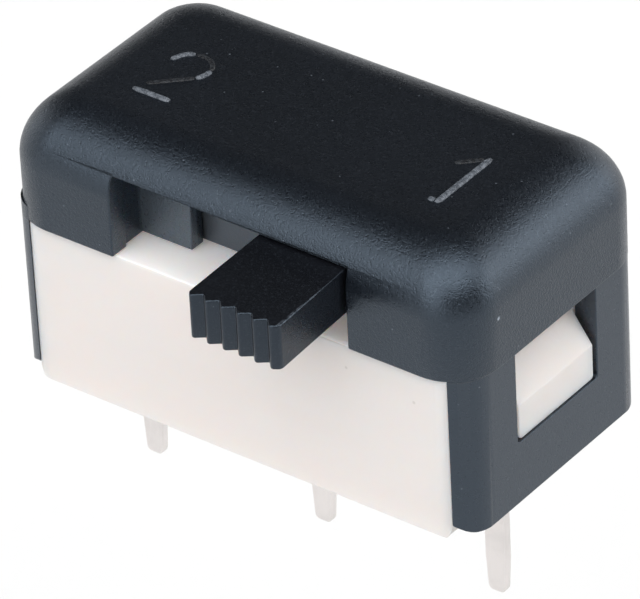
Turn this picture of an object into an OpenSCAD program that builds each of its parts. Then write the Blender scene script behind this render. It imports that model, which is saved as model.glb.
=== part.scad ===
// Miniature slide switch with a side lever, for a printed circuit board.
// A white contact base, a black snap-on cover, a black slider whose lever
// comes out of the front wall, and three flat pins in one line.
// Millimetres. +Z up, +X along the body towards position 1, -Y towards the
// lever. The origin is the centre of the body on the board's surface.

/* [Body] */
// Length of the cover's upper shell
shell_length = 13.4; // [13.2:0.1:14.4]
// Width of the cover's upper shell, front to back
shell_width = 7.2; // [7.1:0.1:7.8]
// Height of the base, from the board to the cover's lower rim
base_height = 4.4; // [4.3:0.1:4.6]
// Total height, from the board to the flat top
body_height = 7.5; // [7.4:0.1:8]
// Radius of the cover's upper edges and corners
shell_radius = 1.4; // [1:0.1:1.5]
// Length across the two cover legs
leg_span = 13.2; // [13.1:0.1:13.2]
// Width of the base and of the cover legs
base_width = 7.0; // [6.8:0.1:7]
// Length of the base between the cover legs
base_length = 12.0; // [11.9:0.1:12]
// Radius of the body's four upright corners, in plan
plan_radius = 0.85; // [0.5:0.05:1]

/* [Lever] */
// Distance that the slider moves from position 1 to position 2
travel = 2.75; // [2:0.05:2.75]
// Underside of the lever above the board
lever_bottom = 5.3; // [5.25:0.05:5.5]
// Top of the lever above the board
lever_top = 6.5; // [6.3:0.05:6.5]
// Front of the lever, from the body's centre line
lever_reach = 6.2; // [4.5:0.05:8]
// Number of grip ridges on the lever's front
ridge_count = 6; // [3:1:7]
// Depth of the grip ridges
ridge_depth = 0.22; // [0.1:0.01:0.3]

/* [Pins] */
// Distance between neighbouring pins
pitch = 5.08; // [5.06:0.01:5.1]
// Length of the pins below the board's surface
pin_length = 3.6; // [2.5:0.1:5]
// Width of the pins, along the row
pin_width = 0.6; // [0.4:0.05:0.6]
// Thickness of the terminal sheet
sheet = 0.25; // [0.2:0.01:0.3]

/* [Numbers] */
// Height of the raised numbers on the top
number_relief = 0.05; // [0.02:0.01:0.1]
// Width of the numbers' lines
number_line = 0.14; // [0.1:0.01:0.2]

/* [Hidden] */
$fn = 64;
e = 0.01;

// Upper shell of the cover
wall = 0.55;                      // front and back walls
roof_z = body_height - 0.8;       // underside of the roof
inner_x = leg_span / 2 - 0.6;     // inner half length
inner_y = shell_width / 2 - wall; // inner half width

// Lever opening in the front wall
notch_left = -3.40;
notch_right = 3.36;
notch_top = 6.6;

// Legs and catches
leg_bottom = 0.18;
window_back = 1.55;
window_front = -1.60;
window_low = 1.84;
window_high = 4.3;
catch_out = 0.56;                 // how far the catch stands out of the base
catch_back = 1.45;
catch_front = -1.50;

// Contact chamber of the base
pin_y = -0.5;                     // the row of pins
chamber_x = 5.45;
chamber_front = -1.6;
chamber_back = 2.6;
floor_z = 1.0;
rail_z = 1.6;                     // top of the rail that holds the terminals
plate_top = 3.9;                  // top of the contact plates
gap_half = 1.7;                   // middle of the gap between two plates
gap = 0.6;                        // gap between two plates

// Slider body at position 1
body_left = -3.1;
body_right = 5.9;
body_half_y = 1.9;
body_low = base_height + 0.05;
body_high = roof_z - 0.1;
mid_x = (body_left + body_right) / 2;

// Detent pocket in the slider
ball_r = 0.6;
pocket_r = 0.63;
pocket_y = 1.0;
pocket_floor = 3.2;
ball_z = roof_z - 0.05 - ball_r;
wire_r = 0.08;
coil_r = 0.47;

// Spring clip that bridges two contact plates
clip_t = 0.15;
clip_top = body_low;
finger_step = 1.6;                // finger pairs on both sides of mid_x
finger_w = 0.9;
grip_z = 2.75;                    // height where the fingers meet a plate

// ---------- shared shapes ----------

// Rectangle with four equal round corners, centred
module round_rect(l, w, r) {
  square([l - 2 * r, w], center = true);
  square([l, w - 2 * r], center = true);
  for (sx = [-1, 1], sy = [-1, 1])
    translate([sx * (l / 2 - r), sy * (w / 2 - r)]) circle(r = r);
}

// Plate from y0 to y1 whose outline is drawn in X and Z
module xz_plate(y0, y1) {
  translate([0, y1, 0]) rotate([90, 0, 0]) linear_extrude(height = y1 - y0) children();
}

// Bar from x0 to x1 whose outline is drawn in Y and Z
module yz_bar(x0, x1) {
  translate([x0, 0, 0]) rotate([90, 0, 90]) linear_extrude(height = x1 - x0) children();
}

// Box by its two corners
module box(a, b) { translate(a) cube([b[0] - a[0], b[1] - a[1], b[2] - a[2]]); }

// Block with a flat bottom, upright round corners and round upper edges
module domed_block(l, w, z0, z1, r) {
  cx = l / 2 - r;
  cy = w / 2 - r;
  cz = z1 - r;
  box([-cx, -cy, z0], [cx, cy, z1]);
  box([-cx - r, -cy, z0], [cx + r, cy, cz]);
  box([-cx, -cy - r, z0], [cx, cy + r, cz]);
  for (sx = [-1, 1], sy = [-1, 1]) {
    translate([sx * cx, sy * cy, z0]) cylinder(r = r, h = cz - z0);
    translate([sx * cx, sy * cy, cz]) sphere(r = r);
  }
  for (sy = [-1, 1])
    translate([-cx, sy * cy, cz]) rotate([0, 90, 0]) cylinder(r = r, h = 2 * cx);
  for (sx = [-1, 1])
    translate([sx * cx, cy, cz]) rotate([90, 0, 0]) cylinder(r = r, h = 2 * cy);
}

// Outline of the base and legs in plan
module body_plan() { round_rect(leg_span, base_width, plan_radius); }

// ---------- base ----------

module base_block() {
  r = 0.45;
  intersection() {
    linear_extrude(height = base_height) intersection() {
      body_plan();
      square([base_length, base_width + 1], center = true);
    }
    // lower end edges are rounded
    xz_plate(-base_width, base_width) union() {
      translate([-base_length / 2, r]) square([base_length, base_height - r]);
      translate([-base_length / 2 + r, 0]) square([base_length - 2 * r, base_height]);
      for (s = [-1, 1]) translate([s * (base_length / 2 - r), r]) circle(r = r);
    }
  }
}

// Ramped catch on the right end
module catch_wedge() {
  x0 = base_length / 2;
  xz_plate(catch_front, catch_back)
    polygon([[x0 - 0.2, 1.86], [x0 + catch_out - 0.06, 1.86], [x0 + catch_out, 1.92],
             [x0 + catch_out, 2.80], [x0, 3.58], [x0 - 0.2, 3.58]]);
}

module base() {
  color([0.94, 0.91, 0.88]) difference() {
    union() {
      difference() {
        base_block();
        translate([0, (chamber_front + chamber_back) / 2, floor_z])
          linear_extrude(height = base_height)
            round_rect(2 * chamber_x, chamber_back - chamber_front, 0.3);
      }
      // rail on the chamber floor
      box([-chamber_x - 0.1, pin_y - 0.45, floor_z - 0.1],
          [chamber_x + 0.1, pin_y + 0.45, rail_z]);
      catch_wedge();
      mirror([1, 0, 0]) catch_wedge();
    }
    // slots that hold the contact plates upright
    for (k = [-1, 0, 1]) {
      a = plate_range(k);
      box([a[0] - e, pin_y - sheet / 2 - e, floor_z], [a[1] + e, pin_y + sheet / 2 + e, rail_z + 1]);
      // slot in the floor for the pin
      box([k * pitch - pin_width / 2 - e, pin_y - sheet / 2 - e, -1],
          [k * pitch + pin_width / 2 + e, pin_y + sheet / 2 + e, floor_z + 0.1]);
    }
  }
}

// ---------- cover ----------

// One leg on the right end, with its window
module leg() {
  x0 = base_length / 2;
  x1 = leg_span / 2;
  r = 0.5;
  half = base_width / 2;
  difference() {
    intersection() {
      translate([0, 0, leg_bottom]) linear_extrude(height = base_height + 0.3 - leg_bottom)
        intersection() {
          body_plan();
          translate([x0, -half]) square([x1 - x0 + e, 2 * half]);
        }
      // lower corners of the leg are rounded
      yz_bar(x0 - 1, x1 + 1) union() {
        translate([-half, leg_bottom + r]) square([2 * half, base_height]);
        translate([-half + r, leg_bottom]) square([2 * (half - r), base_height]);
        for (s = [-1, 1]) translate([s * (half - r), leg_bottom + r]) circle(r = r);
      }
    }
    box([x0 - 1, window_front, window_low], [x1 + 1, window_back, window_high]);
  }
}

// Number 2, upright when it is read from the lever's side
module number_2(w, h, t) {
  r = w / 2;
  // open top bow
  translate([0, h - r]) difference() {
    circle(r = r);
    circle(r = r - t);
    translate([-2 * r, -2 * r]) square([2 * r, 2 * r]);
    translate([-2 * r, -2 * r]) square([4 * r, 2 * r - 0.25 * r]);
  }
  // stroke down to the foot
  polygon([[r * 0.97, h - 1.25 * r], [r * 0.97 - t * 1.15, h - 1.25 * r], [-r, t], [-r, 0], [-r + t * 1.1, 0]]);
  translate([-r, 0]) square([w, t]);
}

// Number 1 with a small flag and a foot
module number_1(h, t) {
  translate([-t / 2, 0]) square([t, h]);
  polygon([[-t / 2, h], [t / 2, h], [t / 2, h - t], [-0.24, h - 0.36], [-0.27, h - 0.26]]);
  translate([-0.22, 0]) square([0.22 + t / 2, t]);
}

module numbers() {
  translate([0, 0, body_height - 0.1]) linear_extrude(height = 0.1 + number_relief) {
    translate([-3.85, -1.22]) number_2(1.1, 2.08, number_line);
    translate([4.45, -1.22]) number_1(2.12, number_line);
  }
}

module cover() {
  color([0.13, 0.145, 0.175]) difference() {
    union() {
      difference() {
        domed_block(shell_length, shell_width, base_height, body_height, shell_radius);
        // hollow of the shell
        translate([0, 0, base_height - 1])
          linear_extrude(height = roof_z - base_height + 1)
            round_rect(2 * inner_x, 2 * inner_y, 0.6);
        // lever opening, open at the bottom
        box([notch_left, -shell_width, base_height - 1], [notch_right, -inner_y + 0.3, notch_top]);
      }
      leg();
      mirror([1, 0, 0]) leg();
      // stop block at the left of the lever opening, and its partner at the right
      box([-3.9, -inner_y - 0.1, base_height + 0.02], [notch_left, -body_half_y - 0.05, roof_z + 0.1]);
      box([-3.9, -2.4, base_height + 0.02], [-2.0, -body_half_y - 0.05, roof_z + 0.1]);
      box([3.45, -inner_y - 0.1, base_height + 0.02], [3.95, -body_half_y - 0.05, roof_z + 0.1]);
      // guide ribs on the back wall
      for (x = [-3.65, 3.65])
        box([x - 0.25, body_half_y + 0.05, base_height + 0.02], [x + 0.25, inner_y + 0.1, roof_z + 0.1]);
      numbers();
    }
    // detent hollows in the roof, one for each position
    for (x = [mid_x, mid_x - travel]) translate([x, pocket_y, roof_z - 0.45]) sphere(r = 0.7);
  }
}

// ---------- slider ----------

// Outline of the lever in plan, with its ridged front
module lever_plan() {
  xr0 = 0.80;
  xr1 = 3.28;
  xf0 = 0.87;
  xf1 = 3.45;
  step = (xf1 - xf0 - 0.1) / (ridge_count - 0.5 + 0.07);
  first = xf0 + 0.02;
  yf = -lever_reach;
  ridges = [for (i = [0 : 2 * (ridge_count - 1)])
    [first + i * step / 2, yf + (i % 2) * ridge_depth]];
  polygon(concat([[xr0, -1.5], [xr0, -inner_y], [xf0, yf + 0.12]], ridges,
                 [[first + (ridge_count - 1) * step + 0.16, yf + 0.06], [xf1, yf + 0.10],
                  [xr1, -inner_y], [xr1, -1.5]]));
}

module slider() {
  color([0.12, 0.125, 0.145]) difference() {
    union() {
      // body that runs under the roof
      translate([mid_x, 0, body_low]) linear_extrude(height = body_high - body_low)
        round_rect(body_right - body_left, 2 * body_half_y, 0.4);
      // lever through the front wall
      translate([0, 0, lever_bottom]) linear_extrude(height = lever_top - lever_bottom) lever_plan();
      // boss for the detent spring, in the contact chamber
      box([mid_x - 1.1, 0.2, pocket_floor - 0.45], [mid_x + 1.1, 1.85, body_low + 0.1]);
      // two pegs with heads that hold the spring clip
      for (s = [-1, 1]) translate([mid_x + s * 0.95, pin_y, 0]) {
        translate([0, 0, clip_top - clip_t - 0.17]) cylinder(r = 0.28, h = clip_t + 0.3);
        translate([0, 0, clip_top - clip_t - 0.17]) cylinder(r = 0.42, h = 0.165);
      }
    }
    translate([mid_x, pocket_y, pocket_floor]) cylinder(r = pocket_r, h = 5);
  }
}

// ---------- terminals ----------

// Left and right ends of contact plate k
function plate_range(k) =
  k == 0 ? [-gap_half + gap / 2, gap_half - gap / 2]
         : k < 0 ? [-5.4, -gap_half - gap / 2] : [gap_half + gap / 2, 5.4];

// Flat stamping: a contact plate inside the base and a pin below it
module terminal(k) {
  a = plate_range(k);
  x = k * pitch;
  h = pin_width / 2;
  t = h - 0.08;
  tip = [for (i = [0 : 8]) let (g = -i * 22.5) [x + t * cos(g), -pin_length + t + t * sin(g)]];
  color([0.92, 0.9, 0.89]) xz_plate(pin_y - sheet / 2, pin_y + sheet / 2)
    polygon(concat([[x - h, -pin_length + 0.7], [x - h, floor_z], [a[0], floor_z], [a[0], plate_top],
                    [a[1], plate_top], [a[1], floor_z], [x + h, floor_z], [x + h, -pin_length + 0.7]], tip));
}

module terminal_1() { terminal(1); }
module terminal_2() { terminal(0); }
module terminal_3() { terminal(-1); }

// ---------- moving parts inside ----------

// One finger of the clip, in Y and Z, on the front side of a plate
module finger_outline() {
  y1 = pin_y - sheet / 2 - 0.03;
  y0 = pin_y - 0.5;
  polygon([[y0, clip_top - clip_t], [y0, clip_top], [y0 + clip_t, clip_top], [y0 + clip_t, clip_top - clip_t],
           [y1, grip_z + 0.1], [y1, grip_z - 0.1], [y1 - 0.14, 2.15],
           [y1 - 0.14 - clip_t, 2.15], [y1 - clip_t, grip_z - 0.13], [y1 - clip_t, grip_z + 0.13]]);
}

module moving_contact() {
  color([0.83, 0.62, 0.38]) difference() {
    union() {
      box([mid_x - 2.1, pin_y - 0.5, clip_top - clip_t], [mid_x + 2.1, pin_y + 0.5, clip_top]);
      for (s = [-1, 1])
        yz_bar(mid_x + s * finger_step - finger_w / 2, mid_x + s * finger_step + finger_w / 2) {
          finger_outline();
          translate([2 * pin_y, 0]) mirror([1, 0]) finger_outline();
        }
    }
    for (s = [-1, 1]) translate([mid_x + s * 0.95, pin_y, clip_top - 1]) cylinder(r = 0.30, h = 2);
  }
}

// Coil spring: a round wire swept along a helix with closed ends
turns = 6.5;
ring_n = 8;
seg_n = 20;
spring_z0 = pocket_floor + wire_r + 0.005;
spring_z1 = ball_z - sqrt(pow(ball_r + wire_r, 2) - pow(coil_r, 2)) - 0.01;
lead_close = 2 * wire_r + 0.01;
lead_open = (spring_z1 - spring_z0 - 2 * lead_close) / (turns - 2);
function coil_height(u) =
  u < 1 ? spring_z0 + u * lead_close
        : u > turns - 1 ? spring_z1 - (turns - u) * lead_close
                        : spring_z0 + lead_close + (u - 1) * lead_open;
module detent_spring() {
  steps = turns * seg_n;
  pts = [for (i = [0 : steps], j = [0 : ring_n - 1])
    let (u = i / seg_n, a = 360 * u, b = 360 * j / ring_n, r = coil_r + wire_r * cos(b))
      [mid_x + r * cos(a), pocket_y + r * sin(a), coil_height(u) + wire_r * sin(b)]];
  sides = [for (i = [0 : steps - 1], j = [0 : ring_n - 1])
    let (k = (j + 1) % ring_n)
      [i * ring_n + j, (i + 1) * ring_n + j, (i + 1) * ring_n + k, i * ring_n + k]];
  caps = [[for (j = [0 : ring_n - 1]) j],
          [for (j = [ring_n - 1 : -1 : 0]) steps * ring_n + j]];
  color([0.75, 0.76, 0.78]) polyhedron(points = pts, faces = concat(sides, caps), convexity = 10);
}

module detent_ball() {
  color([0.8, 0.81, 0.83]) translate([mid_x, pocket_y, ball_z]) sphere(r = ball_r);
}

base();
cover();
slider();
terminal_1();
terminal_2();
terminal_3();
moving_contact();
detent_spring();
detent_ball();
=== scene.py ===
import math

import bmesh
import bpy
from mathutils import Matrix, Vector


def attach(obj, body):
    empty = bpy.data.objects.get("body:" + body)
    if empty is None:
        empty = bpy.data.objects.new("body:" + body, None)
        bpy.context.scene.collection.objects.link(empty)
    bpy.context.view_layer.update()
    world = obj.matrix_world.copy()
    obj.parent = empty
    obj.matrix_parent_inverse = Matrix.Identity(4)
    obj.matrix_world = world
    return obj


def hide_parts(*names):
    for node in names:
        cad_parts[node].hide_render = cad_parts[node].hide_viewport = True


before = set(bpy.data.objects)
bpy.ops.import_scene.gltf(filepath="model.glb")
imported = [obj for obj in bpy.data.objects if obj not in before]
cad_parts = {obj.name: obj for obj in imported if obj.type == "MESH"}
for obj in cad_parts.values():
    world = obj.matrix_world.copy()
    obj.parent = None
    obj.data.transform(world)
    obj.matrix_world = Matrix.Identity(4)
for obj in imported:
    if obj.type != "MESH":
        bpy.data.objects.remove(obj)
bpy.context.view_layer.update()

scene = bpy.context.scene
MM = 0.001

# ------------------------------------------------------------------
# modelling helpers: shapes are made in millimetres and scaled at the end
# ------------------------------------------------------------------


def obj_from(name, verts, faces):
    me = bpy.data.meshes.new(name)
    me.from_pydata([tuple(v) for v in verts], [], faces)
    me.validate()
    ob = bpy.data.objects.new(name, me)
    scene.collection.objects.link(ob)
    return ob


def tidy(ob, flat=0.6):
    """Welds doubles, merges flat faces and points the normals out."""
    bm = bmesh.new()
    bm.from_mesh(ob.data)
    bmesh.ops.remove_doubles(bm, verts=bm.verts, dist=2e-4)
    bmesh.ops.dissolve_degenerate(bm, edges=bm.edges, dist=2e-4)
    if flat:
        bmesh.ops.dissolve_limit(bm, angle_limit=math.radians(flat), verts=bm.verts, edges=bm.edges, use_dissolve_boundaries=False)
    bmesh.ops.recalc_face_normals(bm, faces=bm.faces)
    bm.to_mesh(ob.data)
    bm.free()
    return ob


def apply_mods(ob):
    bpy.context.view_layer.update()
    dg = bpy.context.evaluated_depsgraph_get()
    me = bpy.data.meshes.new_from_object(ob.evaluated_get(dg), depsgraph=dg)
    old = ob.data
    ob.modifiers.clear()
    ob.data = me
    bpy.data.meshes.remove(old)
    return ob


def boolean(a, b, op):
    m = a.modifiers.new("b", "BOOLEAN")
    m.operation = op
    m.solver = "EXACT"
    m.object = b
    apply_mods(a)
    bpy.data.objects.remove(b)
    return a


def cut(a, b):
    return boolean(a, b, "DIFFERENCE")


def join(a, b):
    return boolean(a, b, "UNION")


def keep(a, b):
    return boolean(a, b, "INTERSECT")


def place(axis, u, v, w):
    return {"z": (u, v, w), "y": (u, w, v), "x": (w, u, v)}[axis]


def prism(name, pts, lo, hi, axis="z"):
    """Extrudes an outline: (x, y) along z, (x, z) along y or (y, z) along x."""
    n = len(pts)
    vs = [place(axis, p[0], p[1], lo) for p in pts] + [place(axis, p[0], p[1], hi) for p in pts]
    fs = [tuple(range(n))[::-1], tuple(range(n, 2 * n))]
    fs += [(i, (i + 1) % n, n + (i + 1) % n, n + i) for i in range(n)]
    ob = obj_from(name, vs, fs)
    return tidy(ob, 0)


def fillet(pts, radii, seg=6):
    """Rounds the corners of an outline. radii is one number or one per corner."""
    n = len(pts)
    if not isinstance(radii, (list, tuple)):
        radii = [radii] * n
    out = []
    for i in range(n):
        p = Vector(pts[i])
        a, b = Vector(pts[i - 1]) - p, Vector(pts[(i + 1) % n]) - p
        r = radii[i]
        if r <= 0:
            out.append(tuple(p))
            continue
        la, lb = a.length, b.length
        a.normalize()
        b.normalize()
        ang = math.acos(max(-1, min(1, a.dot(b))))
        if ang > math.radians(176):
            out.append(tuple(p))
            continue
        t = min(r / math.tan(ang / 2), 0.48 * la, 0.48 * lb)
        r = t * math.tan(ang / 2)
        c = p + (a + b).normalized() * (r / math.sin(ang / 2))
        s, e = p + a * t - c, p + b * t - c
        a0, a1 = math.atan2(s.y, s.x), math.atan2(e.y, e.x)
        d = (a1 - a0 + math.pi) % (2 * math.pi) - math.pi
        for k in range(seg + 1):
            q = a0 + d * k / seg
            out.append((c.x + r * math.cos(q), c.y + r * math.sin(q)))
    return out


def rect(x0, y0, x1, y1):
    return [(x0, y0), (x1, y0), (x1, y1), (x0, y1)]


def block(name, lo, hi):
    return prism(name, rect(lo[0], lo[1], hi[0], hi[1]), lo[2], hi[2])


def round_edges(ob, width, seg=3, angle=28, profile=0.5, clamp=False):
    tidy(ob)
    m = ob.modifiers.new("bevel", "BEVEL")
    m.width = width
    m.segments = seg
    m.limit_method = "ANGLE"
    m.angle_limit = math.radians(angle)
    m.profile = profile
    m.miter_outer = "MITER_ARC"
    m.use_clamp_overlap = clamp
    apply_mods(ob)
    tidy(ob, 0)
    return ob


def finish_piece(ob, name, body, slot, *mats, nodes=(), weighted=True):
    me = ob.data
    me.transform(Matrix.Scale(MM, 4))
    for p in me.polygons:
        p.use_smooth = True
    ob.name = name
    me.name = name
    me.materials.clear()
    for m in mats:
        me.materials.append(m)
    if weighted:
        me.set_sharp_from_angle(angle=math.radians(42))
        w = ob.modifiers.new("wn", "WEIGHTED_NORMAL")
        w.mode = "FACE_AREA"
        w.weight = 50
        w.keep_sharp = True
        apply_mods(ob)
    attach(ob, body)
    if nodes:
        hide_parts(*nodes)
    return ob


# ------------------------------------------------------------------
# materials
# ------------------------------------------------------------------


class Mat:
    def __init__(self, name):
        self.m = bpy.data.materials.new(name)
        self.m.use_nodes = True
        self.t = self.m.node_tree
        self.t.nodes.clear()
        self.out = self.n("ShaderNodeOutputMaterial")
        self.p = self.n("ShaderNodeBsdfPrincipled")
        self.link(self.p.outputs[0], self.out.inputs[0])
        self.co = self.n("ShaderNodeTexCoord").outputs["Object"]

    def n(self, kind, **props):
        node = self.t.nodes.new(kind)
        for k, v in props.items():
            setattr(node, k, v)
        return node

    def link(self, a, b):
        self.t.links.new(a, b)

    def put(self, socket, value):
        if hasattr(value, "default_value") or hasattr(value, "is_output"):
            self.link(value, socket)
        else:
            socket.default_value = value

    def noise(self, per_mm, detail=3.0, rough=0.6, vec=None, lac=2.0):
        n = self.n("ShaderNodeTexNoise")
        self.link(vec or self.co, n.inputs["Vector"])
        n.inputs["Scale"].default_value = per_mm * 1000.0
        n.inputs["Detail"].default_value = detail
        n.inputs["Roughness"].default_value = rough
        n.inputs["Lacunarity"].default_value = lac
        return n.outputs["Fac"]

    def voronoi(self, per_mm, feature="F1", out="Distance", vec=None, rnd=1.0):
        n = self.n("ShaderNodeTexVoronoi", feature=feature)
        self.link(vec or self.co, n.inputs["Vector"])
        n.inputs["Scale"].default_value = per_mm * 1000.0
        n.inputs["Randomness"].default_value = rnd
        return n.outputs[out]

    def math(self, op, a, b=0.5, c=None, clamp=False):
        n = self.n("ShaderNodeMath", operation=op, use_clamp=clamp)
        self.put(n.inputs[0], a)
        self.put(n.inputs[1], b)
        if c is not None:
            self.put(n.inputs[2], c)
        return n.outputs[0]

    def map(self, v, a0, a1, b0, b1, smooth=False):
        n = self.n("ShaderNodeMapRange", interpolation_type="SMOOTHSTEP" if smooth else "LINEAR")
        self.put(n.inputs["Value"], v)
        for k, x in zip(("From Min", "From Max", "To Min", "To Max"), (a0, a1, b0, b1)):
            n.inputs[k].default_value = x
        return n.outputs["Result"]

    def mix(self, fac, a, b):
        n = self.n("ShaderNodeMix", data_type="RGBA")
        self.put(n.inputs["Factor"], fac)
        for s, v in ((n.inputs[6], a), (n.inputs[7], b)):
            if isinstance(v, (tuple, list)):
                s.default_value = (*v, 1.0) if len(v) == 3 else v
            else:
                self.link(v, s)
        return n.outputs[2]

    def bump(self, height, distance_mm, strength=1.0, normal=None):
        n = self.n("ShaderNodeBump")
        n.inputs["Strength"].default_value = strength
        n.inputs["Distance"].default_value = distance_mm * MM
        self.link(height, n.inputs["Height"])
        if normal is not None:
            self.link(normal, n.inputs["Normal"])
        return n.outputs["Normal"]

    def xyz(self):
        n = self.n("ShaderNodeSeparateXYZ")
        self.link(self.co, n.inputs[0])
        return n.outputs

    def set(self, **kw):
        names = {"color": "Base Color", "rough": "Roughness", "metal": "Metallic", "spec": "Specular IOR Level",
                 "ior": "IOR", "normal": "Normal", "sss": "Subsurface Weight", "sheen": "Sheen Weight",
                 "coat": "Coat Weight", "coat_rough": "Coat Roughness", "aniso": "Anisotropic"}
        for k, v in kw.items():
            s = self.p.inputs[names[k]]
            if isinstance(v, (tuple, list)):
                s.default_value = (*v, 1.0)
            else:
                self.put(s, v)
        return self


def black_plastic(name, base, dark, grain, speck, smooth_below=None, rough=0.29, painted_light_band=None, painted_edge_highlight=None, ior=1.80):
    """Black moulding with a fine spark-eroded grain, sparse pale dust and a smoother finish on the legs."""
    a = Mat(name)
    x, y, z = a.xyz()
    fine = a.noise(31.0, 1.0, 0.5)
    mid = a.noise(13.0, 2.0, 0.5)
    wide = a.noise(0.35, 2.0, 0.5)
    salt = a.noise(21.0, 1.0, 0.5)
    h = a.math("ADD", a.math("MULTIPLY", fine, 0.55), a.math("MULTIPLY", mid, 0.45))
    m = None
    if smooth_below is not None:
        m = a.map(z, (smooth_below - 0.02) * MM, (smooth_below + 0.02) * MM, 0.22, 1.0, True)
        h = a.math("MULTIPLY", h, m)
    n = a.bump(h, grain)
    # a little uneven tone, paler grain tips, and dust specks of two sizes
    col = a.mix(a.map(wide, 0.35, 0.65, 0.0, 1.0, True), dark, base)
    tips = a.map(salt, 0.56, 0.70, 0.0, 1.0, True)
    if m is not None:
        tips = a.math("MULTIPLY", tips, m)
    col = a.mix(a.math("MULTIPLY", tips, 0.40), col, (0.026, 0.030, 0.038))
    if m is not None:
        col = a.mix(m, (0.0150, 0.0175, 0.0220), col)
    # painted light: a much paler tone on a thin band of faces (y0 to y1, below z1, within 4.3 mm of the middle)
    # stands for light reflected onto recessed faces in the lever opening
    if painted_light_band is not None:
        y0, y1, z1, tone = painted_light_band
        f = a.math("MULTIPLY", a.map(y, (y0 - 0.06) * MM, y0 * MM, 0.0, 1.0), a.map(y, y1 * MM, (y1 + 0.06) * MM, 1.0, 0.0))
        f = a.math("MULTIPLY", f, a.map(z, z1 * MM, (z1 + 0.04) * MM, 1.0, 0.0))
        f = a.math("MULTIPLY", f, a.map(a.math("ABSOLUTE", x), 4.3 * MM, 4.4 * MM, 1.0, 0.0))
        col = a.mix(f, col, tone)
    # painted highlight: a pale, noise-broken streak over a box of faces, used along the lever's worn top right edge
    if painted_edge_highlight is not None:
        (x0, x1), (y0, y1), (z0, z1), tone = painted_edge_highlight
        f = a.noise(5.0, 2.0, 0.6)
        f = a.map(f, 0.40, 0.60, 0.0, 1.0, True)
        for v, lo, hi, e in ((x, x0, x1, 0.015), (y, y0, y1, 0.10), (z, z0, z1, 0.01)):
            f = a.math("MULTIPLY", f, a.math("MULTIPLY", a.map(v, (lo - e) * MM, lo * MM, 0.0, 1.0), a.map(v, hi * MM, (hi + e) * MM, 1.0, 0.0)))
        col = a.mix(f, col, tone)
    dust = a.voronoi(0.78)
    dust = a.math("MULTIPLY", a.map(dust, 0.025, 0.045, 1.0, 0.0, True), a.map(a.noise(0.9, 0.0, 0.5), 0.54, 0.58, 0.0, 1.0))
    tiny = a.math("MULTIPLY", a.map(a.voronoi(3.4), 0.06, 0.10, 1.0, 0.0, True), a.map(a.noise(2.3, 0.0, 0.5), 0.60, 0.64, 0.0, 0.30))
    spots = a.math("MULTIPLY", a.math("MAXIMUM", dust, tiny), speck, clamp=True)
    col = a.mix(spots, col, (0.30, 0.34, 0.40))
    r = a.map(mid, 0.3, 0.7, rough - 0.03, rough + 0.05)
    a.set(color=col, rough=r, normal=n, ior=ior)
    a.p.inputs["Specular Tint"].default_value = (0.63, 0.80, 1.0, 1.0)
    return a.m


# painted light: the pale bands paint reflected light onto the stop block's front face (cover) and the slider's front
# face
cover_mat = black_plastic("cover_black", (0.0045, 0.0055, 0.0080), (0.0035, 0.0043, 0.0063), 0.0200, 0.9, smooth_below=4.38, painted_light_band=(-2.45, -2.2, 6.72, (0.048, 0.058, 0.068)))
# the slider's pale edge streak is a painted highlight on the lever's worn top right edge
slider_mat = black_plastic("slider_black", (0.0045, 0.0047, 0.0065), (0.0035, 0.0037, 0.0052), 0.010, 0.6, rough=0.31, ior=1.69, painted_light_band=(-1.95, -1.86, 6.52, (0.048, 0.054, 0.062)), painted_edge_highlight=((3.34, 3.46), (-6.02, -4.62), (6.475, 6.51), (0.060, 0.070, 0.085)))


def white_plastic():
    a = Mat("base_white")
    fine = a.noise(9.0, 4.0, 0.6)
    mid = a.noise(1.2, 3.0, 0.55)
    wide = a.noise(0.22, 2.0, 0.5)
    flow = a.n("ShaderNodeMapping")
    a.link(a.co, flow.inputs["Vector"])
    flow.inputs["Scale"].default_value = (0.25, 1.0, 1.6)
    streak = a.noise(0.55, 3.0, 0.5, vec=flow.outputs[0])
    col = a.mix(a.map(wide, 0.3, 0.7, 0.0, 1.0, True), (0.79, 0.735, 0.71), (0.78, 0.74, 0.72))
    col = a.mix(a.map(streak, 0.4, 0.75, 0.0, 0.45, True), col, (0.765, 0.715, 0.69))
    x, y, z = a.xyz()
    # painted light: the base's top face, the ledge seen in the lever opening, is coloured paler than the sides to
    # lift the shade it lies in
    ledge = a.map(z, 4.36 * MM, 4.395 * MM, 0.0, 1.0, True)
    col = a.mix(ledge, col, (0.99, 0.95, 0.935))
    dust = a.math("MULTIPLY", a.map(a.voronoi(0.8), 0.02, 0.045, 1.0, 0.0, True), a.map(a.noise(0.7, 0.0), 0.57, 0.60, 0.0, 0.35))
    col = a.mix(dust, col, (0.42, 0.38, 0.35))
    h = a.math("ADD", a.math("MULTIPLY", fine, 0.5), a.math("MULTIPLY", mid, 0.5))
    a.set(color=col, rough=a.map(mid, 0.3, 0.7, 0.40, 0.50), normal=a.bump(h, 0.006), sss=0.75)
    a.p.inputs["Subsurface Radius"].default_value = (1.0, 0.75, 0.6)
    a.p.inputs["Subsurface Scale"].default_value = 0.9 * MM
    # lighting aid, not a property of the plastic: the shaded ledge under the lever is lifted a little
    a.p.inputs["Emission Color"].default_value = (1.0, 0.955, 0.935, 1.0)
    a.put(a.p.inputs["Emission Strength"], a.math("MULTIPLY", ledge, 0.14))
    return a.m


base_mat = white_plastic()


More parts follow.
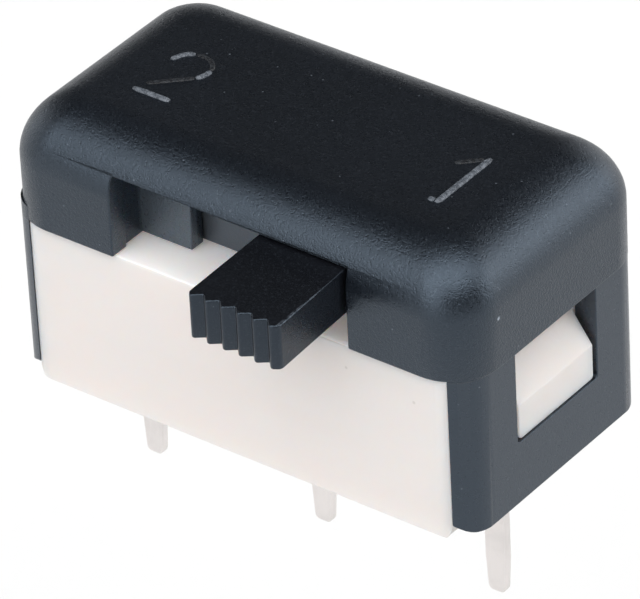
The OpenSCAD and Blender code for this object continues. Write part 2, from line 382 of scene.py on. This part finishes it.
def metal(name, base, dark, rough, stretch=(1, 1, 1), grain=0.004, scale=6.0, bright=None):
    a = Mat(name)
    mp = a.n("ShaderNodeMapping")
    a.link(a.co, mp.inputs["Vector"])
    mp.inputs["Scale"].default_value = stretch
    fine = a.noise(scale, 4.0, 0.6, vec=mp.outputs[0])
    mid = a.noise(scale * 0.2, 3.0, 0.55)
    col = a.mix(a.map(mid, 0.35, 0.7, 0.0, 1.0, True), base, dark)
    col = a.mix(a.map(fine, 0.55, 0.8, 0.0, 0.5), col, bright or tuple(min(1.0, v * 1.08) for v in base))
    a.set(color=col, metal=1.0, rough=a.map(fine, 0.3, 0.75, rough - 0.06, rough + 0.12), normal=a.bump(fine, grain))
    return a.m


tin_mat = metal("terminal_tin", (0.93, 0.885, 0.865), (0.86, 0.82, 0.80), 0.36, (1, 1, 0.3), 0.006)
clip_mat = metal("clip_bronze", (0.80, 0.56, 0.33), (0.70, 0.46, 0.26), 0.32, (0.25, 1, 1))
wire_mat = metal("spring_wire", (0.66, 0.67, 0.69), (0.52, 0.53, 0.55), 0.30, (1, 1, 1))
ball_mat = metal("ball_steel", (0.78, 0.79, 0.81), (0.70, 0.71, 0.73), 0.12, (1, 1, 1), 0.001)

# ------------------------------------------------------------------
# cover: lofted shell with round upper edges, two legs, lever opening
# ------------------------------------------------------------------

SHELL_L, SHELL_W, RIM, TOP = 13.4, 7.2, 4.4, 7.5
EDGE_R, UPRIGHT_R = 1.55, 1.28
WALL_Y = 3.05


def rrect(l, w, r, seg):
    return fillet(rect(-l / 2, -w / 2, l / 2, w / 2), r, seg)


def lofted_shell():
    seg, rings, vs, fs = 14, [], [], []
    levels = [(0.0, RIM)]
    steps = 18
    for k in range(steps + 1):
        t = math.pi / 2 * k / steps
        levels.append((EDGE_R * (1 - math.cos(t)), TOP - EDGE_R + EDGE_R * math.sin(t)))
    for d, z in levels:
        f = d / EDGE_R
        r = UPRIGHT_R * (1 - f) + 0.42 * f
        rings.append([(x, y, z) for x, y in rrect(SHELL_L - 2 * d, SHELL_W - 2 * d, r, seg)])
    n = len(rings[0])
    for ring in rings:
        vs += ring
    for i in range(len(rings) - 1):
        for j in range(n):
            k = (j + 1) % n
            fs.append((i * n + j, i * n + k, (i + 1) * n + k, (i + 1) * n + j))
    fs.append(tuple(range(n))[::-1])
    fs.append(tuple(range((len(rings) - 1) * n, len(rings) * n)))
    return tidy(obj_from("cover_work", vs, fs), 0)


def body_plan(x0, x1, seg=14):
    """The common outline of base and legs between two x positions."""
    ob = prism("plan", rrect(13.2, 7.0, 0.95, seg), -1, 6)
    return keep(ob, block("clip", (x0, -5, -2), (x1, 5, 7)))


def leg(side):
    """One end leg: rounded plan and bottom corners, with the catch window cut through."""
    half, r, low = 3.5, 0.5, 0.18
    out = 6.60 if side > 0 else 6.68
    ob = prism("leg", rrect(2 * out, 7.0, 0.95, 14), low, 4.8)
    keep(ob, block("clip", (6.008, -5, -1), (6.72, 5, 7)))
    side_view = fillet([(-half, low), (half, low), (half, 6.0), (-half, 6.0)], [r, r, 0, 0], 8)
    keep(ob, prism("prof", side_view, 5, 7, "x"))
    win = fillet([(-1.60, 1.84), (1.55, 1.84), (1.55, 5.2), (-1.60, 5.2)], [0.08, 0.08, 0, 0], 4)
    cut(ob, prism("win", win, 5, 7, "x"))
    # ease the window edge and the long lower edge on the outer face
    bm = bmesh.new()
    bm.from_mesh(tidy(ob).data)
    pick = []
    for e in bm.edges:
        if len(e.link_faces) != 2 or e.calc_face_angle(0) < math.radians(50):
            continue
        m = (e.verts[0].co + e.verts[1].co) / 2
        if m.x > out - 0.02 and m.z < 4.7 and (abs(m.y) < 1.7 and m.z > 1.0 or m.z < low + 0.01 and abs(m.y) < 2.7):
            pick.append(e)
    bmesh.ops.bevel(bm, geom=pick, offset=0.03, offset_type="OFFSET", segments=3, profile=0.5, affect="EDGES", clamp_overlap=False)
    bm.to_mesh(ob.data)
    bm.free()
    tidy(ob, 0)
    if side < 0:
        ob.data.transform(Matrix.Scale(-1, 4, (1, 0, 0)))
        tidy(ob, 0)
    return ob


def bar(x0, y0, x1, y1, soft=0.035):
    ob = prism("bar", rect(x0, y0, x1, y1), RIM + 0.03, 6.9)
    return round_edges(ob, soft, 3)


def make_cover():
    ob = lofted_shell()
    cut(ob, prism("hollow", rrect(12.0, 2 * WALL_Y, 0.6, 6), RIM - 1, 6.7))
    opening = fillet([(-3.40, RIM - 1), (3.36, RIM - 1), (3.36, 6.6), (-3.40, 6.6)], [0, 0, 0.10, 0.10], 4)
    cut(ob, prism("opening", opening, -5.0, -2.9, "y"))
    round_edges(ob, 0.055, 3)
    join(ob, leg(1))
    join(ob, leg(-1))
    # stop block behind the left of the opening, its partner on the right, and guide ribs
    join(ob, bar(-3.92, -3.2, -3.46, -1.97))
    join(ob, bar(-3.90, -2.4, -2.0, -1.95, 0.045))
    join(ob, bar(3.45, -3.2, 3.95, -1.95))
    for x in (-3.65, 3.65):
        join(ob, bar(x - 0.25, 1.95, x + 0.25, 3.2))
    return tidy(ob, 0)


cover = make_cover()
finish_piece(cover, "cover_shell", "housing", "cover_black", cover_mat, nodes=("cover",))

# ------------------------------------------------------------------
# base: white block with the contact chamber and a ramped catch at each end
# ------------------------------------------------------------------


def catch(side):
    prof = [(5.7, 1.855), (6.555, 1.855), (6.555, 2.80), (6.0, 3.60), (5.7, 3.60)]
    ob = prism("catch", prof, -1.5, 1.45, "y")
    face = fillet([(-1.5, 1.855), (1.45, 1.855), (1.45, 3.7), (-1.5, 3.7)], [0.14, 0.10, 0, 0], 5)
    keep(ob, prism("face", face, 5, 7, "x"))
    round_edges(ob, 0.035, 3)
    if side < 0:
        ob.data.transform(Matrix.Scale(-1, 4, (1, 0, 0)))
        tidy(ob, 0)
    return ob


def make_base():
    ob = round_edges(prism("base_work", rrect(13.2, 7.0, 0.95, 14), 0, 4.4), 0.07, 3)
    end = fillet([(-6.0, -0.2), (6.0, -0.2), (6.0, 4.6), (-6.0, 4.6)], [0.62, 0.62, 0, 0], 8)
    keep(ob, prism("end", end, -5, 5, "y"))
    cut(ob, prism("chamber", fillet(rect(-5.45, -1.6, 5.45, 2.6), 0.3, 5), 1.0, 6))
    join(ob, block("rail", (-5.55, -0.95, 0.9), (5.55, -0.05, 1.6)))
    join(ob, catch(1))
    join(ob, catch(-1))
    for k, (a, b) in {-1: (-5.4, -2.0), 0: (-1.4, 1.4), 1: (2.0, 5.4)}.items():
        cut(ob, block("slot", (a - 0.01, -0.635, 1.0), (b + 0.01, -0.365, 3)))
        cut(ob, block("hole", (k * 5.08 - 0.31, -0.635, -1), (k * 5.08 + 0.31, -0.365, 1.2)))
    return tidy(ob, 0)


base = make_base()
finish_piece(base, "base_body", "housing", "base_white", base_mat, nodes=("base",))

# ------------------------------------------------------------------
# slider with the ridged lever
# ------------------------------------------------------------------


def lever_outline():
    """Six rounded ribs across the front: each falls back to the right, then steps forward to the next."""
    xf0, xf1, yf, n = 0.87, 3.45, -6.2, 6
    step = (xf1 - xf0 - 0.16) / (n - 1 + 0.42)
    first = xf0 + 0.10
    pts = [(0.80, -1.5), (0.80, -3.05), (xf0 - 0.01, yf + 0.16)]
    rad = [0, 0, 0.06]
    for i in range(n):
        pts.append((first + i * step, yf))
        rad.append(0.085)
        if i < n - 1:
            pts.append((first + (i + 0.60) * step, yf + 0.20))
            rad.append(0.035)
    pts += [(xf1 - 0.03, yf + 0.13), (3.28, -3.05), (3.28, -1.5)]
    rad += [0.16, 0, 0]
    return fillet(pts, rad, 6)


def make_slider():
    ob = prism("slider_work", fillet(rect(-3.1, -1.9, 5.9, 1.9), 0.4, 8), 4.45, 6.6)
    hole = [(1.4 + 0.63 * math.cos(2 * math.pi * i / 40), 1.0 + 0.63 * math.sin(2 * math.pi * i / 40)) for i in range(40)]
    cut(ob, prism("pocket_top", hole, 5.0, 8))
    round_edges(ob, 0.045, 3)
    lever = prism("lever", lever_outline(), 5.3, 6.5)
    join(ob, round_edges(lever, 0.045, 3))
    join(ob, round_edges(block("boss", (0.3, 0.2, 2.75), (2.5, 1.85, 4.7)), 0.04, 3))
    for s in (-1, 1):
        c = (1.4 + 0.95 * s, -0.5)
        ring = lambda r, n: [(c[0] + r * math.cos(2 * math.pi * i / n), c[1] + r * math.sin(2 * math.pi * i / n)) for i in range(n)]
        join(ob, prism("peg", ring(0.28, 24), 4.2, 4.6))
        join(ob, prism("head", ring(0.42, 28), 4.13, 4.295))
    cut(ob, prism("pocket", hole, 3.2, 5.5))
    return tidy(ob, 0)


slider = make_slider()
finish_piece(slider, "slider_lever", "slider", "slider_black", slider_mat, nodes=("slider",))

# ------------------------------------------------------------------
# terminals: coined flat pins with tapered round tips
# ------------------------------------------------------------------


def make_terminal(k):
    x, h, t, z = k * 5.08, 0.3, 0.245, -3.6
    a, b = {-1: (-5.4, -2.0), 0: (-1.4, 1.4), 1: (2.0, 5.4)}[k]
    pts = [(x - h, 1.0), (a, 1.0), (a, 3.9), (b, 3.9), (b, 1.0), (x + h, 1.0), (x + h, z + 1.0),
           (x + t, z + 0.10), (x + 0.17, z), (x - 0.17, z), (x - t, z + 0.10), (x - h, z + 1.0)]
    pts = fillet(pts, [0, 0, 0.15, 0.15, 0, 0, 0.6, 0.12, 0.10, 0.10, 0.12, 0.6], 5)
    ob = prism("terminal_work", pts, -0.625, -0.375, "y")
    round_edges(ob, 0.05, 2, 40)
    return ob


for k, node in ((1, "terminal_1"), (0, "terminal_2"), (-1, "terminal_3")):
    ob = make_terminal(k)
    finish_piece(ob, node + "_pin", "housing", "terminal_tin", tin_mat, nodes=(node,))

# ------------------------------------------------------------------
# raised position numbers
# ------------------------------------------------------------------


def stroke(name, path, width, height, z0, seg=7, taper=0.35):
    """A low round-backed ridge along a path in plan."""
    pts = [Vector(p) for p in path]
    n = len(pts)
    vs, fs = [], []
    for i, p in enumerate(pts):
        d = (pts[min(i + 1, n - 1)] - pts[max(i - 1, 0)]).normalized()
        s = Vector((d.y, -d.x))
        e = min(i, n - 1 - i) / max(1, n - 1)
        k = 1.0 if e > 0.04 else 0.62
        for j in range(seg + 1):
            a = math.pi * j / seg
            q = p + s * (width / 2 * k * math.cos(a))
            vs.append((q.x, q.y, z0 + height * k * math.sin(a) - (0.03 if j in (0, seg) else 0)))
    m = seg + 1
    for i in range(n - 1):
        for j in range(m):
            k = (j + 1) % m
            fs.append((i * m + j, (i + 1) * m + j, (i + 1) * m + k, i * m + k))
    fs.append(tuple(range(m)))
    fs.append(tuple(range((n - 1) * m, n * m))[::-1])
    return tidy(obj_from(name, vs, fs), 0)


def arc(cx, cy, rx, ry, a0, a1, n):
    return [(cx + rx * math.cos(math.radians(a0 + (a1 - a0) * i / n)), cy + ry * math.sin(math.radians(a0 + (a1 - a0) * i / n))) for i in range(n + 1)]


def line(a, b, n=8):
    return [(a[0] + (b[0] - a[0]) * i / n, a[1] + (b[1] - a[1]) * i / n) for i in range(n + 1)]


def merge(obs):
    a = obs[0]
    bm = bmesh.new()
    for o in obs:
        bm.from_mesh(o.data)
    bm.to_mesh(a.data)
    bm.free()
    for o in obs[1:]:
        bpy.data.objects.remove(o)
    return a


NUM_H, NUM_W = 0.05, 0.165


def numeral_material(name, low, high):
    """Grainy strokes; the pale set's light tone is painted sheen on the worn raised strokes."""
    m = Mat(name)
    f = m.noise(8.5, 3.0, 0.65)
    m.set(color=m.mix(m.map(f, 0.40, 0.60, 0.0, 1.0, True), low, high), rough=m.map(f, 0.3, 0.7, 0.42, 0.58),
          normal=m.bump(m.noise(14.0, 2.0, 0.5), 0.05))
    return m.m


two_top = arc(-3.80, 0.12, 0.54, 0.52, 178, 112, 10)
two_gap = arc(-3.80, 0.12, 0.54, 0.52, 108, 14, 12)
two_bow = arc(-3.80, 0.12, 0.54, 0.52, 10, -38, 8)
pale = [stroke("two_a", two_top, NUM_W, NUM_H, TOP), stroke("two_b", two_bow, NUM_W, NUM_H, TOP),
        stroke("two_c", line((-4.35, -1.30), (-3.30, -1.30), 10), NUM_W * 1.05, NUM_H, TOP),
        stroke("one_a", line((4.36, -1.36), (4.36, 0.74), 16), NUM_W * 1.1, NUM_H, TOP),
        stroke("one_b", line((4.10, -1.30), (4.27, -1.30), 4), NUM_W, NUM_H * 0.8, TOP)]
faint = [stroke("two_d", two_gap, NUM_W * 0.8, NUM_H * 0.5, TOP),
         stroke("two_e", line((-3.40, -0.22), (-4.22, -0.98), 12), NUM_W, NUM_H * 0.6, TOP),
         stroke("one_c", line((4.24, 0.64), (3.76, 0.18), 8), NUM_W, NUM_H * 0.6, TOP)]
# painted sheen: the pale strokes are coloured far lighter than the black moulding for the light they catch; the
# faint strokes stay near black
finish_piece(merge(pale), "cover_numerals", "housing", "cover_black",
             numeral_material("numeral_painted_sheen", (0.070, 0.082, 0.100), (0.165, 0.185, 0.215)), weighted=False)
finish_piece(merge(faint), "cover_numerals_faint", "housing", "cover_black",
             numeral_material("numeral_faint", (0.004, 0.005, 0.008), (0.022, 0.026, 0.032)), weighted=False)

# ------------------------------------------------------------------
# inner parts that keep their CAD shape
# ------------------------------------------------------------------

for node, mat in (("moving_contact", clip_mat), ("detent_spring", wire_mat), ("detent_ball", ball_mat)):
    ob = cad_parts[node]
    ob.data.materials.clear()
    ob.data.materials.append(mat)

# ------------------------------------------------------------------
# stage: camera, pale floor, soft light
# ------------------------------------------------------------------

AZ, EL, ROLL = math.radians(38.483), math.radians(35.123), math.radians(-3.098)
back = Vector((math.sin(AZ) * math.cos(EL), -math.cos(AZ) * math.cos(EL), math.sin(EL)))
right = Vector((0, 0, 1)).cross(back).normalized()
up = back.cross(right)
r2 = right * math.cos(ROLL) + up * math.sin(ROLL)
u2 = -right * math.sin(ROLL) + up * math.cos(ROLL)
cam = bpy.data.cameras.new("camera")
cam_ob = bpy.data.objects.new("camera", cam)
scene.collection.objects.link(cam_ob)
dist = 164.17 * MM
focal_px = 6968.0
cam.sensor_width = 36.0
cam.lens = focal_px / 640.0 * 36.0
cam.shift_x = -(332.05 - 320.0) / 640.0
cam.shift_y = (384.56 - 299.5) / 640.0
cam.clip_start, cam.clip_end = 0.005, 10.0
cam_ob.matrix_world = Matrix(((r2.x, u2.x, back.x, back.x * dist), (r2.y, u2.y, back.y, back.y * dist),
                              (r2.z, u2.z, back.z, back.z * dist), (0, 0, 0, 1)))
scene.camera = cam_ob

floor = obj_from("floor", [(-3, -3, -0.06), (3, -3, -0.06), (3, 3, -0.06), (-3, 3, -0.06)], [(0, 1, 2, 3)])
fm = Mat("floor_pale")
tone = fm.mix(fm.noise(0.02, 2.0, 0.5), (0.71, 0.71, 0.71), (0.73, 0.73, 0.73))
fm.set(color=tone, rough=0.9)
fm.p.inputs["Emission Color"].default_value = (1.0, 1.0, 1.0, 1.0)
fm.p.inputs["Emission Strength"].default_value = 0.057
floor.data.materials.append(fm.m)


def softbox(name, az, el, strength, spread):
    """A distant round softbox, spread degrees across; az runs from the front (-Y) towards +X."""
    li = bpy.data.lights.new(name, "SUN")
    li.energy = strength
    li.angle = math.radians(spread)
    ob = bpy.data.objects.new(name, li)
    scene.collection.objects.link(ob)
    az, el = math.radians(az), math.radians(el)
    to_light = Vector((math.sin(az) * math.cos(el), -math.cos(az) * math.cos(el), math.sin(el)))
    ob.rotation_euler = to_light.to_track_quat("Z", "Y").to_euler()
    return ob


BOXES = [
    (-180, 12, 0.300, 36),
    (-150, 12, 0.041, 36),
    (-120, 12, 0.028, 36),
    (-90, 12, 0.350, 36),
    (-60, 12, 0.100, 36),
    (-30, 12, 0.039, 36),
    (0, 12, 0.552, 36),
    (120, 12, 0.601, 36),
    (150, 12, 0.548, 36),
    (-20, 38, 1.276, 52),
    (80, 38, 0.052, 36),
    (120, 38, 0.465, 36),
    (-135, 60, 0.037, 36),
    (45, 60, 1.700, 60),
    (90, 60, 0.233, 36),
]
for i, (az, el, strength, spread) in enumerate(BOXES):
    softbox("softbox_%d" % (i + 1), az, el, strength, spread)

# the backdrop lamp brightens the floor behind the part
lamp = bpy.data.lights.new("backdrop", "SPOT")
lamp.energy = 3.18
lamp.spot_size = math.radians(17)
lamp.spot_blend = 1.0
lamp.shadow_soft_size = 0.01
lamp_ob = bpy.data.objects.new("backdrop", lamp)
scene.collection.objects.link(lamp_ob)
lamp_ob.location = (-0.062, 0.079, 0.5)

world = bpy.data.worlds.new("studio")
scene.world = world
world.use_nodes = True
wt = world.node_tree
wt.nodes.clear()
wo = wt.nodes.new("ShaderNodeOutputWorld")
bg = wt.nodes.new("ShaderNodeBackground")
wt.links.new(bg.outputs[0], wo.inputs[0])
bg.inputs[0].default_value = (1.0, 1.0, 1.0, 1.0)
bg.inputs[1].default_value = 0.0

scene.view_settings.view_transform = "Standard"
scene.view_settings.look = "None"
scene.view_settings.exposure = 0.0
scene.view_settings.gamma = 1.0
